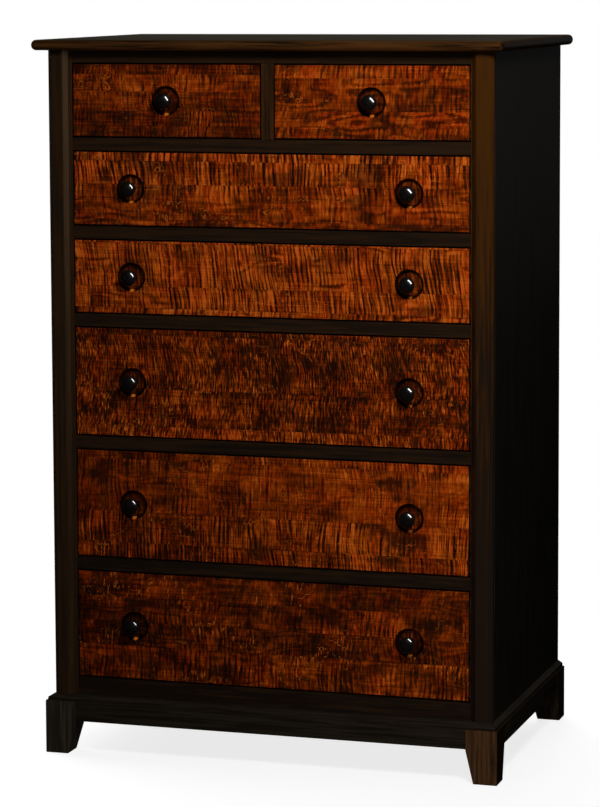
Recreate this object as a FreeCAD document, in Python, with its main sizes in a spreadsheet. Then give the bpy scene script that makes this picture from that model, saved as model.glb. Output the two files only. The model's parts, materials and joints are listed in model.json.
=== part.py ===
import FreeCAD, Part
import Sketcher
import os
from types import SimpleNamespace

# Tall chest of seven inset drawers, two small ones side by side above five wide ones.
# The frame is +Z up with the front facing -Y. The origin is on the floor, in the middle of the
# outline seen from above. Everything is in millimetres.

SIZES = {
    # Carcass
    "carcass_width": 914.0,
    "carcass_depth": 590.0,
    "side_thickness": 19.0,
    "back_thickness": 7.0,
    "back_rebate": 10.0,
    # Top slab
    "top_thickness": 21.0,
    "top_overhang": 26.0,
    "top_corner": 12.0,
    "top_edge_land": 0.6,
    # Corner posts
    "post_width": 42.0,
    "post_strip": 5.0,
    "post_proud": 15.0,
    "post_chamfer": 9.0,
    "post_thickness": 18.0,
    "panel_groove": 5.0,
    # Rails and stile between the drawers
    "rail_height": 25.5,
    "rail_depth": 45.0,
    "top_rail_height": 25.0,
    "bottom_rail_height": 34.5,
    "stile_width": 25.0,
    "partition_thickness": 19.0,
    # Runners behind the rails
    "runner_width": 50.0,
    "centre_runner_width": 70.0,
    "runner_clearance": 0.3,
    "guide_height": 20.0,
    "guide_clearance": 1.0,
    "rear_rail_thickness": 26.0,
    "stop_height": 12.0,
    "stop_clearance": 0.3,
    # Plinth
    "base_height": 108.0,
    "base_projection": 14.0,
    "frame_thickness": 12.0,
    "frame_width": 75.0,
    "moulding_projection": 10.0,
    "moulding_slope": 6.0,
    "foot_width": 64.0,
    "foot_tip": 48.0,
    "apron_height": 40.0,
    "apron_thickness": 20.0,
    "apron_setback": 2.0,
    # Drawers
    "front_gap": 2.5,
    "small_front": 144.0,
    "medium_front": 146.0,
    "deep_front": 217.0,
    "front_thickness": 22.0,
    "front_edge": 1.2,
    "drawer_side": 14.0,
    "side_drop": 8.0,
    "drawer_back": 14.0,
    "back_drop": 6.0,
    "back_inset": 12.0,
    "bottom_thickness": 6.0,
    "bottom_height": 10.0,
    "groove_depth": 5.0,
    # Half-blind dovetails
    "lap": 8.0,
    "tail_pitch": 42.0,
    "pin_narrow": 8.0,
    "pin_wide": 13.0,
    # Turned recess round each knob
    "dish_radius": 29.5,
    "dish_depth": 9.5,
    "dish_cove": 11.5,
    # Knobs
    "knob_spread": 574.0,
    "knob_radius": 16.5,
    "knob_reach": 28.0,
    "knob_rim_reach": 19.0,
    "knob_under_reach": 14.5,
    "knob_under_radius": 13.5,
    "knob_neck": 6.8,
    "knob_neck_reach": 1.0,
    "knob_foot": 9.0,
    "knob_rim_round": 5.0,
    "knob_crown": 19.7,
    "knob_cove": 20.0,
    "knob_waist": 24.0,
    "tenon_radius": 6.0,
    "tenon_length": 10.0,
    "tenon_clearance": 0.1,
}

SMALL_ROWS = 1
MEDIUM_ROWS = 2
DEEP_ROWS = 3
FEWEST_TAILS = 2
OVERCUT = 5.0
NEAR = 0.01
FULL_TURN = 360.0

# The numbers that the Sketcher gives to an edge's two ends and to its own two axes.
FIRST_POINT = 1
LAST_POINT = 2
X_AXIS = -1
Y_AXIS = -2


class Length:
    """A length worked out from the sheet: the expression that gives it, and its value."""

    def __init__(self, text, value):
        self.text = text
        self.value = value

    def joined(self, sign, other, value):
        other_text = other.text if isinstance(other, Length) else str(other)
        return Length("(" + self.text + " " + sign + " " + other_text + ")", value)

    def __add__(self, other):
        return self.joined("+", other, self.value + plain(other))

    def __sub__(self, other):
        return self.joined("-", other, self.value - plain(other))

    def __mul__(self, other):
        return self.joined("*", other, self.value * plain(other))

    def __truediv__(self, other):
        return self.joined("/", other, self.value / plain(other))

    def __neg__(self):
        return Length("(0 - " + self.text + ")", -self.value)


def plain(length):
    return length.value if isinstance(length, Length) else length


ZERO = Length("0", 0.0)

doc = FreeCAD.newDocument("chest_of_drawers")


def fill_sheet():
    """Writes the driving sizes into the sheet and returns them by name."""
    sheet = doc.addObject("Spreadsheet::Sheet", "Sizes")
    lengths = {}
    for row, (name, value) in enumerate(SIZES.items(), start=1):
        sheet.set("A" + str(row), name)
        sheet.set("B" + str(row), str(value))
        sheet.setAlias("B" + str(row), name)
        lengths[name] = Length("Sizes." + name, value)
    doc.recompute()
    return SimpleNamespace(**lengths)


S = fill_sheet()

# Places that many pieces share
HALF = S.carcass_width / 2
REAR = (S.carcass_depth + S.top_overhang) / 2
POST_FACE = REAR - S.carcass_depth
FACE = POST_FACE + S.post_proud
RAIL_BACK = FACE + S.rail_depth
INNER = HALF - S.side_thickness
OPENING = HALF - S.post_width - S.post_strip
FRONT_EDGE = OPENING - S.front_gap
REAR_RAIL = REAR - S.back_thickness - S.rear_rail_thickness
DRAWER_REAR = REAR_RAIL - S.stop_clearance
CARCASS_BOTTOM = S.base_height + S.frame_thickness

# Plinth outline
BASE_SIDE = HALF + S.base_projection
BASE_FRONT = POST_FACE - S.base_projection
APRON_BOTTOM = S.base_height - S.apron_height


def bind(obj, **lengths):
    """Ties properties of an object to the sheet."""
    for name, length in lengths.items():
        obj.setExpression(name, length.text)


def place(obj, x=ZERO, y=ZERO, z=ZERO):
    """Ties an object's position to the sheet."""
    for axis, length in zip("xyz", (x, y, z)):
        obj.setExpression(".Placement.Base." + axis, length.text)


def make(kind, name):
    obj = doc.addObject(kind, name)
    obj.Label = name
    return obj


def block(name, x, y, z):
    """A rectangular block between pairs of coordinates."""
    box = make("Part::Box", name)
    bind(box, Length=x[1] - x[0], Width=y[1] - y[0], Height=z[1] - z[0])
    place(box, x[0], y[0], z[0])
    return box


def joined(name, pieces):
    """One solid made of pieces that meet."""
    fuse = make("Part::MultiFuse", name)
    fuse.Shapes = pieces
    fuse.Refine = True
    return fuse


def grouped(name, pieces):
    """Separate solids that share a node."""
    compound = make("Part::Compound", name)
    compound.Links = pieces
    return compound


def cut(name, base, tools):
    """A piece with one or more tools cut out of it."""
    result = make("Part::Cut", name)
    result.Base = base
    result.Tool = tools[0] if len(tools) == 1 else joined(name + "_tools", tools)
    return result


def mirrored(name, source):
    """The same piece on the other side of the chest."""
    mirror = make("Part::Mirroring", name)
    mirror.Source = source
    mirror.Normal = FreeCAD.Vector(1, 0, 0)
    return mirror


def body_of(name):
    return make("PartDesign::Body", name)


def origin_plane(body, role):
    return next(item for item in body.Origin.OriginFeatures if item.Role == role)


def edges_where(feature, test):
    """Names of the edges whose two ends both pass a test."""
    doc.recompute()
    names = []
    for number, edge in enumerate(feature.Shape.Edges, start=1):
        if all(test(vertex.Point) for vertex in edge.Vertexes):
            names.append("Edge" + str(number))
    return names


def arc_middle(start, end, radius):
    """The middle of an arc to the right of its chord, or to the left if the radius is negative."""
    chord = FreeCAD.Vector(end.x - start.x, end.y - start.y, 0)
    half = chord.Length / 2
    rise = abs(radius) - (radius * radius - half * half) ** 0.5
    side = FreeCAD.Vector(chord.y, -chord.x, 0).normalize()
    if radius < 0:
        side = side * -1
    return (start + end) * 0.5 + side * rise


def pin_down(sketch, geometry, end, x, y):
    """Ties one point of a sketch to its two coordinates."""
    for kind, length, axis in (("DistanceX", x, Y_AXIS), ("DistanceY", y, X_AXIS)):
        if length is ZERO:
            sketch.addConstraint(Sketcher.Constraint("PointOnObject", geometry, end, axis))
            continue
        number = sketch.addConstraint(Sketcher.Constraint(kind, geometry, end, length.value))
        sketch.setExpression("Constraints[" + str(number) + "]", length.text)


def outline(body, name, corners, arcs=None):
    """A closed outline on the body's XY plane, with arcs after the corners that name a radius."""
    arcs = arcs or {}
    sketch = body.newObject("Sketcher::SketchObject", name)
    sketch.AttachmentSupport = [(origin_plane(body, "XY_Plane"), "")]
    sketch.MapMode = "FlatFace"
    points = [FreeCAD.Vector(x.value, y.value, 0) for x, y in corners]
    count = len(points)
    for index, start in enumerate(points):
        end = points[(index + 1) % count]
        if index not in arcs:
            sketch.addGeometry(Part.LineSegment(start, end), False)
            continue
        middle = arc_middle(start, end, arcs[index].value)
        if arcs[index].value > 0:
            sketch.addGeometry(Part.Arc(start, middle, end), False)
        else:
            sketch.addGeometry(Part.Arc(end, middle, start), False)
    turned = [index in arcs and arcs[index].value < 0 for index in range(count)]
    for index in range(count):
        before = (index - 1) % count
        last = FIRST_POINT if turned[before] else LAST_POINT
        first = LAST_POINT if turned[index] else FIRST_POINT
        sketch.addConstraint(Sketcher.Constraint("Coincident", before, last, index, first))
        pin_down(sketch, index, first, *corners[index])
    for index, radius in arcs.items():
        number = sketch.addConstraint(Sketcher.Constraint("Radius", index, abs(radius.value)))
        size = radius if radius.value > 0 else -radius
        sketch.setExpression("Constraints[" + str(number) + "]", size.text)
    return sketch


def padded(body, sketch, height):
    pad = body.newObject("PartDesign::Pad", body.Name + "_pad")
    pad.Profile = sketch
    bind(pad, Length=height)
    return pad


def corner_post(name):
    """The right-hand post: a chamfered pilaster, a strip level with the rails and a tongue behind."""
    body = body_of(name)
    pilaster = HALF - S.post_width
    block_back = POST_FACE + S.post_thickness
    corners = [
        (HALF, block_back),
        (HALF, POST_FACE + S.post_chamfer),
        (HALF - S.post_chamfer, POST_FACE),
        (pilaster + S.post_chamfer, POST_FACE),
        (pilaster, POST_FACE + S.post_chamfer),
        (pilaster, FACE),
        (OPENING, FACE),
        (OPENING, RAIL_BACK),
        (INNER, RAIL_BACK),
        (INNER, block_back),
    ]
    sketch = outline(body, name + "_plan", corners)
    padded(body, sketch, CARCASS_TOP - CARCASS_BOTTOM)
    place(body, z=CARCASS_BOTTOM)
    return body


def side_panel(name):
    """The right-hand side, with a shadow groove behind the post and a rebate for the back."""
    front = POST_FACE + S.post_thickness
    height = (CARCASS_BOTTOM, CARCASS_TOP)
    panel = block(name + "_board", (INNER, HALF), (front, REAR), height)
    tall = (CARCASS_BOTTOM - OVERCUT, CARCASS_TOP + OVERCUT)
    groove = block(
        name + "_groove",
        (HALF - S.panel_groove, HALF + OVERCUT),
        (front - OVERCUT, front + S.panel_groove),
        tall,
    )
    rebate = block(
        name + "_rebate",
        (INNER - OVERCUT, INNER + S.back_rebate),
        (REAR - S.back_thickness, REAR + OVERCUT),
        tall,
    )
    return cut(name, panel, [groove, rebate])


def top_slab(name):
    """The top, with eased front corners and a round edge on its front and its two ends."""
    body = body_of(name)
    width = S.carcass_width + S.top_overhang * 2
    depth = S.carcass_depth + S.top_overhang
    slab = body.newObject("PartDesign::AdditiveBox", name + "_slab")
    bind(slab, Length=width, Width=depth, Height=S.top_thickness)
    corners = body.newObject("PartDesign::Fillet", name + "_corners")
    upright = edges_where(slab, lambda p: p.y < NEAR)
    upright = [
        edge
        for edge in upright
        if abs(slab.Shape.getElement(edge).Length - S.top_thickness.value) < NEAR
    ]
    corners.Base = (slab, upright)
    bind(corners, Radius=S.top_corner)
    doc.recompute()
    rounded = body.newObject("PartDesign::Fillet", name + "_edge")
    thick = S.top_thickness.value
    chosen = []
    for number, edge in enumerate(corners.Shape.Edges, start=1):
        ends = [vertex.Point for vertex in edge.Vertexes]
        level = all(p.z < NEAR for p in ends) or all(p.z > thick - NEAR for p in ends)
        rear = all(p.y > depth.value - NEAR for p in ends)
        if level and not rear:
            chosen.append("Edge" + str(number))
    rounded.Base = (corners, chosen)
    bind(rounded, Radius=(S.top_thickness - S.top_edge_land) / 2)
    place(body, -width / 2, POST_FACE - S.top_overhang, CARCASS_TOP)
    return body


def frame_board(name, corners):
    """A board of the plinth frame whose outer top edge slopes down from the carcass."""
    body = body_of(name)
    sketch = outline(body, name + "_plan", corners)
    pad = padded(body, sketch, S.frame_thickness)
    place(body, z=S.base_height)
    doc.recompute()
    top = S.frame_thickness.value
    first, second = (FreeCAD.Vector(x.value, y.value, top) for x, y in corners[:2])
    edges = edges_where(pad, lambda p: min(p.distanceToPoint(first), p.distanceToPoint(second)) < NEAR)
    slope = body.newObject("PartDesign::Chamfer", name + "_slope")
    slope.Base = (pad, edges)
    slope.ChamferType = "Two distances"
    bind(slope, Size=S.moulding_projection, Size2=S.moulding_slope)
    doc.recompute()
    if not slope_is_flat(slope):
        slope.FlipDirection = True
    return body


def slope_is_flat(slope):
    """True if the chamfer stops where the moulding's nose should begin."""
    nose = S.frame_thickness - S.moulding_slope
    return any(abs(vertex.Z - nose.value) < NEAR for vertex in slope.Shape.Vertexes)


def plinth_frame(name):
    """Front and side boards mitred at the front, with a plain board between the sides behind."""
    edge = HALF + S.moulding_projection
    front = POST_FACE - S.moulding_projection
    inner_edge = edge - S.frame_width
    inner_front = front + S.frame_width
    board = frame_board(
        name + "_front",
        [(-edge, front), (edge, front), (inner_edge, inner_front), (-inner_edge, inner_front)],
    )
    right = frame_board(
        name + "_right",
        [(edge, front), (edge, REAR), (inner_edge, REAR), (inner_edge, inner_front)],
    )
    left = mirrored(name + "_left", right)
    rear = block(
        name + "_rear",
        (-inner_edge, inner_edge),
        (REAR - S.frame_width, REAR),
        (S.base_height, CARCASS_BOTTOM),
    )
    return grouped(name, [board, right, left, rear])


def foot(name, front):
    """A right-hand foot: a square block whose two inner faces taper in below the apron."""
    tip = make("Part::Wedge", name + "_taper")
    bind(
        tip,
        Xmin=BASE_SIDE - S.foot_tip,
        Xmax=BASE_SIDE,
        X2min=BASE_SIDE - S.foot_width,
        X2max=BASE_SIDE,
        Ymin=ZERO,
        Ymax=APRON_BOTTOM,
    )
    if front:
        bind(
            tip,
            Zmin=-(BASE_FRONT + S.foot_tip),
            Zmax=-BASE_FRONT,
            Z2min=-(BASE_FRONT + S.foot_width),
            Z2max=-BASE_FRONT,
        )
        depth = (BASE_FRONT, BASE_FRONT + S.foot_width)
    else:
        bind(tip, Zmin=-REAR, Zmax=S.foot_tip - REAR, Z2min=-REAR, Z2max=S.foot_width - REAR)
        depth = (REAR - S.foot_width, REAR)
    tip.Placement = FreeCAD.Placement(FreeCAD.Vector(), FreeCAD.Rotation(FreeCAD.Vector(1, 0, 0), 90))
    width = (BASE_SIDE - S.foot_width, BASE_SIDE)
    upper = block(name + "_block", width, depth, (APRON_BOTTOM, S.base_height))
    return joined(name, [tip, upper])


def apron_boards(name):
    """The boards between the feet, set a little behind the feet's outer faces."""
    between = BASE_SIDE - S.foot_width
    height = (APRON_BOTTOM, S.base_height)
    outer = BASE_FRONT + S.apron_setback
    side = BASE_SIDE - S.apron_setback
    rear = REAR - S.apron_setback
    front_board = block(
        name + "_front", (-between, between), (outer, outer + S.apron_thickness), height
    )
    rear_board = block(
        name + "_rear", (-between, between), (rear - S.apron_thickness, rear), height
    )
    right = block(
        name + "_right",
        (side - S.apron_thickness, side),
        (BASE_FRONT + S.foot_width, REAR - S.foot_width),
        height,
    )
    return grouped(name, [front_board, rear_board, right, mirrored(name + "_left", right)])


def cross_rail(name, bottom, height):
    """A rail between the posts, level with the drawer fronts."""
    return block(name, (-OPENING, OPENING), (FACE, RAIL_BACK), (bottom, bottom + height))


def runner(name, rail_bottom, rail_top):
    """A right-hand runner: a ledge under the drawer side and a guide beside it."""
    top = rail_top + S.front_gap - S.runner_clearance
    length = (RAIL_BACK, REAR_RAIL)
    ledge = block(name + "_ledge", (INNER - S.runner_width, INNER), length, (rail_bottom, top))
    guide = block(
        name + "_guide",
        (FRONT_EDGE + S.guide_clearance, INNER),
        length,
        (top, top + S.guide_height),
    )
    return joined(name, [ledge, guide])


def centre_runner(name, rail_bottom, rail_top):
    """The runner between the two small drawers, with a guide along its middle."""
    top = rail_top + S.front_gap - S.runner_clearance
    length = (RAIL_BACK, REAR_RAIL)
    half = S.centre_runner_width / 2
    guide_half = S.stile_width / 2 + S.front_gap - S.guide_clearance
    ledge = block(name + "_ledge", (-half, half), length, (rail_bottom, top))
    guide = block(name + "_guide", (-guide_half, guide_half), length, (top, top + S.guide_height))
    return joined(name, [ledge, guide])


def rear_rail(name, bottom, top):
    """A rail in front of the back. A drawer shuts against its upper part."""
    return block(name, (-INNER, INNER), (REAR_RAIL, REAR_RAIL + S.rear_rail_thickness), (bottom, top))


def knob(name, x, z):
    """A turned knob with a tenon let into the front and a round head that stands out of its dish."""
    body = body_of(name)
    floor = S.dish_depth
    corners = [
        (ZERO, floor + S.tenon_length),
        (S.tenon_radius, floor + S.tenon_length),
        (S.tenon_radius, floor),
        (S.knob_foot, floor),
        (S.knob_neck, -S.knob_neck_reach),
        (S.knob_under_radius, -S.knob_under_reach),
        (S.knob_radius, -S.knob_rim_reach),
        (ZERO, -S.knob_reach),
    ]
    arcs = {3: S.knob_waist, 4: S.knob_cove, 5: -S.knob_rim_round, 6: -S.knob_crown}
    sketch = outline(body, name + "_profile", corners, arcs)
    turned = body.newObject("PartDesign::Revolution", name + "_turned")
    turned.Profile = sketch
    turned.ReferenceAxis = (sketch, ["V_Axis"])
    turned.Angle = FULL_TURN
    place(body, x, FACE, z)
    return body


def dish(name, x, z):
    """The turned recess: a flat floor with a cove that rises to the rim, and the tenon's hole."""
    centre_out = S.dish_cove - S.dish_depth
    reach = (S.dish_cove.value**2 - centre_out.value**2) ** 0.5
    reach_text = "sqrt(" + (S.dish_cove * S.dish_cove - centre_out * centre_out).text + ")"
    floor_radius = S.dish_radius - Length(reach_text, reach)
    cove = make("Part::Torus", name + "_cove")
    bind(cove, Radius1=floor_radius, Radius2=S.dish_cove)
    floor = make("Part::Cylinder", name + "_floor")
    bind(floor, Radius=floor_radius, Height=S.dish_depth + OVERCUT)
    hole = make("Part::Cylinder", name + "_hole")
    bind(
        hole,
        Radius=S.tenon_radius + S.tenon_clearance,
        Height=S.dish_depth + S.tenon_length + S.tenon_clearance,
    )
    into_front = FreeCAD.Rotation(FreeCAD.Vector(1, 0, 0), -90)
    for tool, y in ((cove, FACE - centre_out), (floor, FACE - OVERCUT), (hole, FACE)):
        tool.Placement = FreeCAD.Placement(FreeCAD.Vector(), into_front)
        place(tool, x, y, z)
    return joined(name, [cove, floor, hole])


def front_blank(name, x, z):
    """A drawer front before its recesses are cut, with its face edges eased."""
    body = body_of(name)
    board = body.newObject("PartDesign::AdditiveBox", name + "_board")
    bind(board, Length=x[1] - x[0], Width=S.front_thickness, Height=z[1] - z[0])
    eased = body.newObject("PartDesign::Chamfer", name + "_eased")
    eased.Base = (board, edges_where(board, lambda p: p.y < NEAR))
    bind(eased, Size=S.front_edge)
    place(body, x[0], FACE, z[0])
    return body


def dovetail_pins(name, x, z):
    """The pins between the tails, as wide as the drawer. A half pin is at each end of the joint."""
    height = z[1] - z[0]
    tails = max(FEWEST_TAILS, round(height.value / S.tail_pitch.value))
    pins = []
    for index in range(tails + 1):
        middle = z[0] + height * index / tails
        pin = make("Part::Wedge", name + "_" + str(index))
        bind(
            pin,
            Xmin=x[0],
            Xmax=x[1],
            X2min=x[0],
            X2max=x[1],
            Ymin=FACE + S.lap,
            Ymax=FACE + S.front_thickness,
            Zmin=middle - S.pin_narrow / 2,
            Zmax=middle + S.pin_narrow / 2,
            Z2min=middle - S.pin_wide / 2,
            Z2max=middle + S.pin_wide / 2,
        )
        pins.append(pin)
    return joined(name, pins)


def drawer(name, x, z, knob_places):
    """One drawer: dovetailed front and sides, a back let into the sides, a bottom in grooves."""
    inside = (x[0] + S.drawer_side, x[1] - S.drawer_side)
    panel_z = (z[0] + S.bottom_height, z[0] + S.bottom_height + S.bottom_thickness)
    side_z = (z[0], z[1] - S.side_drop)
    grooved = (inside[0] - S.groove_depth, inside[1] + S.groove_depth)
    bottom = block(
        name + "_bottom",
        grooved,
        (FACE + S.front_thickness - S.groove_depth, DRAWER_REAR),
        panel_z,
    )
    back_y = DRAWER_REAR - S.back_inset
    back = block(
        name + "_back",
        grooved,
        (back_y - S.drawer_back, back_y),
        (panel_z[1], side_z[1] - S.back_drop),
    )
    side_y = (FACE + S.lap, DRAWER_REAR)
    boards = joined(
        name + "_side_boards",
        [
            block(name + "_left_board", (x[0], inside[0]), side_y, side_z),
            block(name + "_right_board", (inside[1], x[1]), side_y, side_z),
        ],
    )
    pins = dovetail_pins(name + "_pins", x, side_z)
    sides = cut(name + "_sides", boards, [pins, bottom, back])
    dishes = [
        dish(name + "_dish_" + str(index), *spot) for index, spot in enumerate(knob_places)
    ]
    blank = front_blank(name + "_blank", x, z)
    turned = cut(name + "_turned", blank, dishes)
    jointed = cut(name + "_jointed", turned, [bottom])
    front = cut(name + "_front", jointed, [sides])
    knobs = [
        knob(name + "_knob_" + str(index), *spot) for index, spot in enumerate(knob_places)
    ]
    if len(knobs) == 1:
        knobs[0].Label = name + "_knob"
        return [front, sides, back, bottom, knobs[0]]
    return [front, sides, back, bottom, grouped(name + "_knobs", knobs)]


def wide_drawer(name, z):
    """A drawer as wide as the opening, with two knobs."""
    middle = (z[0] + z[1]) / 2
    reach = S.knob_spread / 2
    return drawer(name, (-FRONT_EDGE, FRONT_EDGE), z, [(-reach, middle), (reach, middle)])


def small_drawers(first, second, z):
    """Two drawers with one knob each, either side of the stile."""
    near = S.stile_width / 2 + S.front_gap
    middle = (z[0] + z[1]) / 2
    centre = (near + FRONT_EDGE) / 2
    left = drawer(first, (-FRONT_EDGE, -near), z, [(-centre, middle)])
    right = drawer(second, (near, FRONT_EDGE), z, [(centre, middle)])
    return left + right


def level_heights():
    """Bottom and top of each row of fronts and of each rail, from the floor up."""
    heights = [S.deep_front] * DEEP_ROWS + [S.medium_front] * MEDIUM_ROWS
    heights += [S.small_front] * SMALL_ROWS
    rails = [(CARCASS_BOTTOM, CARCASS_BOTTOM + S.bottom_rail_height)]
    rows = []
    for height in heights:
        bottom = rails[-1][1] + S.front_gap
        rows.append((bottom, bottom + height))
        rail_bottom = bottom + height + S.front_gap
        rails.append((rail_bottom, rail_bottom + S.rail_height))
    last = rails.pop()[0]
    rails.append((last, last + S.top_rail_height))
    return rows, rails


ROWS, RAILS = level_heights()
CARCASS_TOP = RAILS[-1][1]


def carcass():
    """The slab, the sides, the posts and the back."""
    post = corner_post("corner_post_right")
    side = side_panel("side_panel_right")
    back_edge = INNER + S.back_rebate
    back = block(
        "back_panel",
        (-back_edge, back_edge),
        (REAR - S.back_thickness, REAR),
        (CARCASS_BOTTOM, CARCASS_TOP),
    )
    return [
        top_slab("top_panel"),
        side,
        mirrored("side_panel_left", side),
        post,
        mirrored("corner_post_left", post),
        back,
    ]


def front_frame():
    """The rails from the top down, and the stile and partition between the small drawers."""
    pieces = [cross_rail("bottom_rail", RAILS[0][0], S.bottom_rail_height)]
    pieces.append(cross_rail("top_rail", RAILS[-1][0], S.top_rail_height))
    dividers = RAILS[1:-1]
    for index, (bottom, top) in enumerate(dividers):
        name = "divider_rail_" + str(len(dividers) - index)
        pieces.append(cross_rail(name, bottom, S.rail_height))
    half_stile = S.stile_width / 2
    above = dividers[-1][1]
    kicker = RAILS[-1][0]
    pieces.append(
        block("centre_stile", (-half_stile, half_stile), (FACE, RAIL_BACK), (above, kicker))
    )
    guide_top = above + S.front_gap - S.runner_clearance + S.guide_height
    half_panel = S.partition_thickness / 2
    pieces.append(
        block(
            "centre_partition",
            (-half_panel, half_panel),
            (RAIL_BACK, REAR_RAIL),
            (guide_top, kicker),
        )
    )
    return pieces


def inner_frame():
    """Runners, rear rails and the kickers that keep the top drawers level when they are open."""
    runners = []
    rear_rails = []
    for index, (bottom, top) in enumerate(RAILS[:-1]):
        low = top - S.rail_height
        right = runner("runner_right_" + str(index), low, top)
        runners.append(right)
        runners.append(mirrored("runner_left_" + str(index), right))
        stop = top + S.front_gap - S.runner_clearance + S.stop_height
        rear_rails.append(rear_rail("rear_rail_" + str(index), low, stop))
    low, top = RAILS[-2]
    runners.append(centre_runner("runner_centre", low, top))
    kicker_z = RAILS[-1]
    rear_rails.append(rear_rail("rear_rail_top", *kicker_z))
    length = (RAIL_BACK, REAR_RAIL)
    right = block("kicker_right", (INNER - S.runner_width, INNER), length, kicker_z)
    half = S.centre_runner_width / 2
    middle = block("kicker_centre", (-half, half), length, kicker_z)
    return [
        grouped("drawer_runners", runners),
        grouped("rear_rails", rear_rails),
        grouped("top_kickers", [right, mirrored("kicker_left", right), middle]),
    ]


def plinth():
    """The frame under the carcass, four feet and the aprons between them."""
    front_foot = foot("foot_front_right", True)
    rear_foot = foot("foot_rear_right", False)
    return [
        plinth_frame("plinth_frame"),
        apron_boards("aprons"),
        front_foot,
        mirrored("foot_front_left", front_foot),
        rear_foot,
        mirrored("foot_rear_left", rear_foot),
    ]


def drawers():
    """The drawers, numbered from the top down and from left to right."""
    pieces = small_drawers("drawer_1", "drawer_2", ROWS[-1])
    for index, z in enumerate(reversed(ROWS[:-1])):
        pieces += wide_drawer("drawer_" + str(index + 3), z)
    return pieces


def check(pieces):
    """Stops before anything is written if an object failed or a shape is broken."""
    for obj in doc.Objects:
        if "Invalid" in obj.State or "Error" in obj.State:
            raise RuntimeError(obj.Name + " failed: " + str(obj.State))
    for piece in pieces:
        if piece.Shape.isNull() or not piece.Shape.isValid() or not piece.Shape.Solids:
            raise RuntimeError(piece.Label + " has no valid solid")


def write(pieces):
    os.makedirs("parts", exist_ok=True)
    for piece in pieces:
        piece.Shape.exportStep("parts/" + piece.Label + ".step")


PIECES = carcass() + front_frame() + inner_frame() + plinth() + drawers()
doc.recompute()
check(PIECES)
write(PIECES)
print(len(PIECES), "pieces,", sum(len(piece.Shape.Solids) for piece in PIECES), "solids")
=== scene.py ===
import json
import logging
import math
from collections.abc import Iterable, Mapping, Sequence
from dataclasses import dataclass, replace
from enum import Enum
from typing import Any

import bmesh
import bpy
from mathutils import Matrix, Vector

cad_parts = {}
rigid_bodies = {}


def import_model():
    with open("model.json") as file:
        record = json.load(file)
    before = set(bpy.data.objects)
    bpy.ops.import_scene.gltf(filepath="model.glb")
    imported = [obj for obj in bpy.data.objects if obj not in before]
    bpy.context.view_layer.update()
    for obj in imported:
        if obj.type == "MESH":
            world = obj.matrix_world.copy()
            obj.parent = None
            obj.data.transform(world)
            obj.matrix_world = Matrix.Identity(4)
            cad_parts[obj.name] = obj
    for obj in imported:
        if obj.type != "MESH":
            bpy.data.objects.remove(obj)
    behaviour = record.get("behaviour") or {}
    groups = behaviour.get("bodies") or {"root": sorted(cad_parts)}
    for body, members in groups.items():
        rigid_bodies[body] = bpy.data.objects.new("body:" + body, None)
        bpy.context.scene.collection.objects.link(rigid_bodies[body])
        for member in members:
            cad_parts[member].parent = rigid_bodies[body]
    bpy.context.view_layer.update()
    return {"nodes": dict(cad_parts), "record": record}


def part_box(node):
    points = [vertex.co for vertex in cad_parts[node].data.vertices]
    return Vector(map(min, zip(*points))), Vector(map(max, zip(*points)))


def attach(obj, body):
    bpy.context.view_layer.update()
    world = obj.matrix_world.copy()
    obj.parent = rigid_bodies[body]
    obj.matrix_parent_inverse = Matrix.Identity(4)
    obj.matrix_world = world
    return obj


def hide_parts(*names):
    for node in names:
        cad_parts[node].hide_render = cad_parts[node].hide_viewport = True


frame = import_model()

# The looks of a tall chest of drawers: a dark stained frame, figured maple fronts and black turned
# knobs. Pieces are in metres, and finishes work in millimetres.

LOG = logging.getLogger("chest")
MM = 0.001
FULL_TURN = 2.0 * math.pi

# Points nearer than WELD are one point, and faces that turn by less than FLAT are one face. An edge
# that turns by more than CREASE is sharp.
WELD = 0.00001
FLAT = math.radians(0.2)
CREASE = math.radians(32.0)

# How many decimal places of a metre tell two corners of a solid apart, and two knobs.
CORNER_PLACES = 6
KNOB_PLACES = 5

# The numbers of the Mix node's colour sockets.
COLOUR_A = 6
COLOUR_B = 7
COLOUR_OUTPUT = 2

Colour = tuple[float, float, float]
Tint = tuple[float, float, float, float]
Place = tuple[float, float, float]
Ramp = tuple[float, float]
Number = "Value | float"
Feed = "Value | bpy.types.NodeSocket | float | Sequence[float]"

WHITE: Tint = (1.0, 1.0, 1.0, 1.0)
OLIVE: Tint = (0.95, 0.90, 0.58, 1.0)
# The olive of the painted reflection on faces that look up.
OLIVE_REFLECTION: Colour = (0.0340, 0.0300, 0.0170)


class Grain(Enum):
    """The way the wood's fibres run, as the axis along them."""

    ACROSS = 0
    DEEP = 1
    UP = 2


class Value:
    """A number from a shader node, which Python's operators work on."""

    def __init__(self, paint: "Paint", socket: bpy.types.NodeSocket) -> None:
        """Wraps a socket.

        Args:
            paint: the finish whose nodes the socket belongs to.
            socket: the node's output.
        """
        self.paint = paint
        self.socket = socket

    def __add__(self, other: Number) -> "Value":
        """The sum."""
        return self.paint.math("ADD", self, other)

    __radd__ = __add__

    def __sub__(self, other: Number) -> "Value":
        """The difference."""
        return self.paint.math("SUBTRACT", self, other)

    def __rsub__(self, other: Number) -> "Value":
        """The difference, taken from a plain number."""
        return self.paint.math("SUBTRACT", other, self)

    def __mul__(self, other: Number) -> "Value":
        """The product."""
        return self.paint.math("MULTIPLY", self, other)

    __rmul__ = __mul__

    def __abs__(self) -> "Value":
        """The size without its sign."""
        return self.paint.math("ABSOLUTE", self)


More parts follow.
